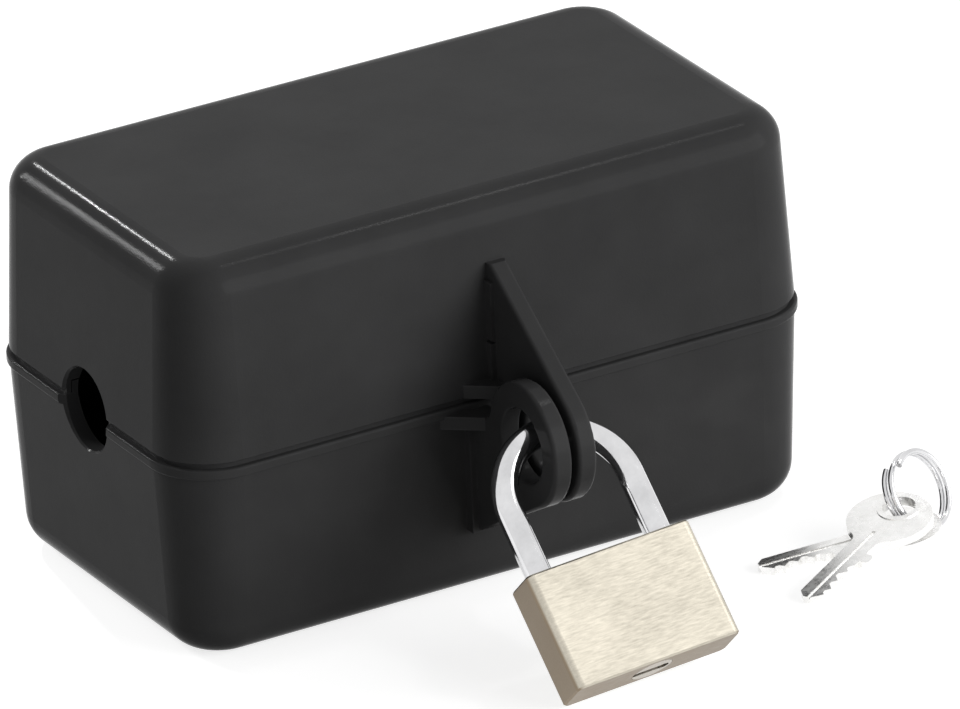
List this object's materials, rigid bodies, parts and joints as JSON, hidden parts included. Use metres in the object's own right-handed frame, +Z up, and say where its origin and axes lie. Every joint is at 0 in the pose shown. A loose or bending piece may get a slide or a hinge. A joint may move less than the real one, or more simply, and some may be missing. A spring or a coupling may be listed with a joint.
{
  "type": "plug lock box",
  "caption": "Two-part moulded box that shuts over a power plug, with a cable hole in each end and a hasp held by a padlock, keys beside it",
  "frame": {"origin": "centre of the box's underside, on the surface it stands on", "axes": "+X along the box through both cable holes, -Y towards the hasp and padlock, +Z up"},
  "size_m": [0.1318, 0.1239, 0.0685],
  "materials": {
    "black_shell": "satin fine-grained black",
    "steel_pin": "turned steel",
    "chromed_steel": "polished chrome",
    "nickel_body": "brushed, nickel plated",
    "nickel_plug": "turned, nickel plated",
    "brass_pin": "turned brass",
    "spring_steel": "spring wire",
    "nickel_key": "bright nickel plate"
  },
  "bodies": {
    "base": {"base_shell": "black_shell", "hinge_pin_left": "steel_pin", "hinge_pin_right": "steel_pin"},
    "lid": {"lid_shell": "black_shell"},
    "shackle": {"shackle": "chromed_steel"},
    "padlock": {"padlock_body": "nickel_body", "driver_pins": "steel_pin", "pin_springs": "spring_steel", "chamber_plugs": "nickel_body", "bolt_spring": "spring_steel", "bolt_bore_plug": "nickel_body", "shackle_spring": "spring_steel", "shackle_keeper_pin": "steel_pin", "plug_keeper_pin": "steel_pin"},
    "plug": {"cylinder_plug": "nickel_plug", "key_pins": "brass_pin"},
    "bolt": {"locking_bolt": "steel_pin"},
    "key_ring": {"split_ring": "chromed_steel"},
    "key_a": {"key_a": "nickel_key"},
    "key_b": {"key_b": "nickel_key"}
  },
  "joints": [
    {"name": "lid_hinge", "type": "hinge", "parent": "base", "child": "lid", "pos_m": [0, 0.0375, 0.0346], "axis": [-1, 0, 0], "range_deg": [0, 2.9]},
    {"name": "padlock_swing", "type": "hinge", "parent": "base", "child": "shackle", "pos_m": [-0.0036, -0.051, 0.0353], "axis": [1, 0, 0], "range_deg": [-150, 58]},
    {"name": "shackle_slide", "type": "slide", "parent": "shackle", "child": "padlock", "axis": [0.0471, -0.6775, -0.7341], "range_m": [0, 0.0096]},
    {"name": "plug_turn", "type": "hinge", "parent": "padlock", "child": "plug", "pos_m": [-0.0036, -0.051, 0.0353], "axis": [-0.0471, 0.6775, 0.7341], "range_deg": [-90, 0]},
    {"name": "bolt_slide", "type": "slide", "parent": "padlock", "child": "bolt", "axis": [0.997, -0.013, 0.076], "range_m": [0, 0.00212]},
    {"name": "key_ring_lift", "type": "slide", "parent": "base", "child": "key_ring", "axis": [0, 0, 1], "range_m": [0, 0.1]},
    {"name": "key_a_swing", "type": "hinge", "parent": "key_ring", "child": "key_a", "pos_m": [0.06007, -0.05471, 0.00575], "axis": [0, 0, 1], "range_deg": [0, 12]},
    {"name": "key_b_swing", "type": "hinge", "parent": "key_ring", "child": "key_b", "pos_m": [0.06232, -0.05554, 0.00275], "axis": [0, 0, 1], "range_deg": [-4, 8]}
  ],
  "couplings": [
    {"joint": "plug_turn", "follows": "bolt_slide", "rad_per_m": -740.59}
  ]
}
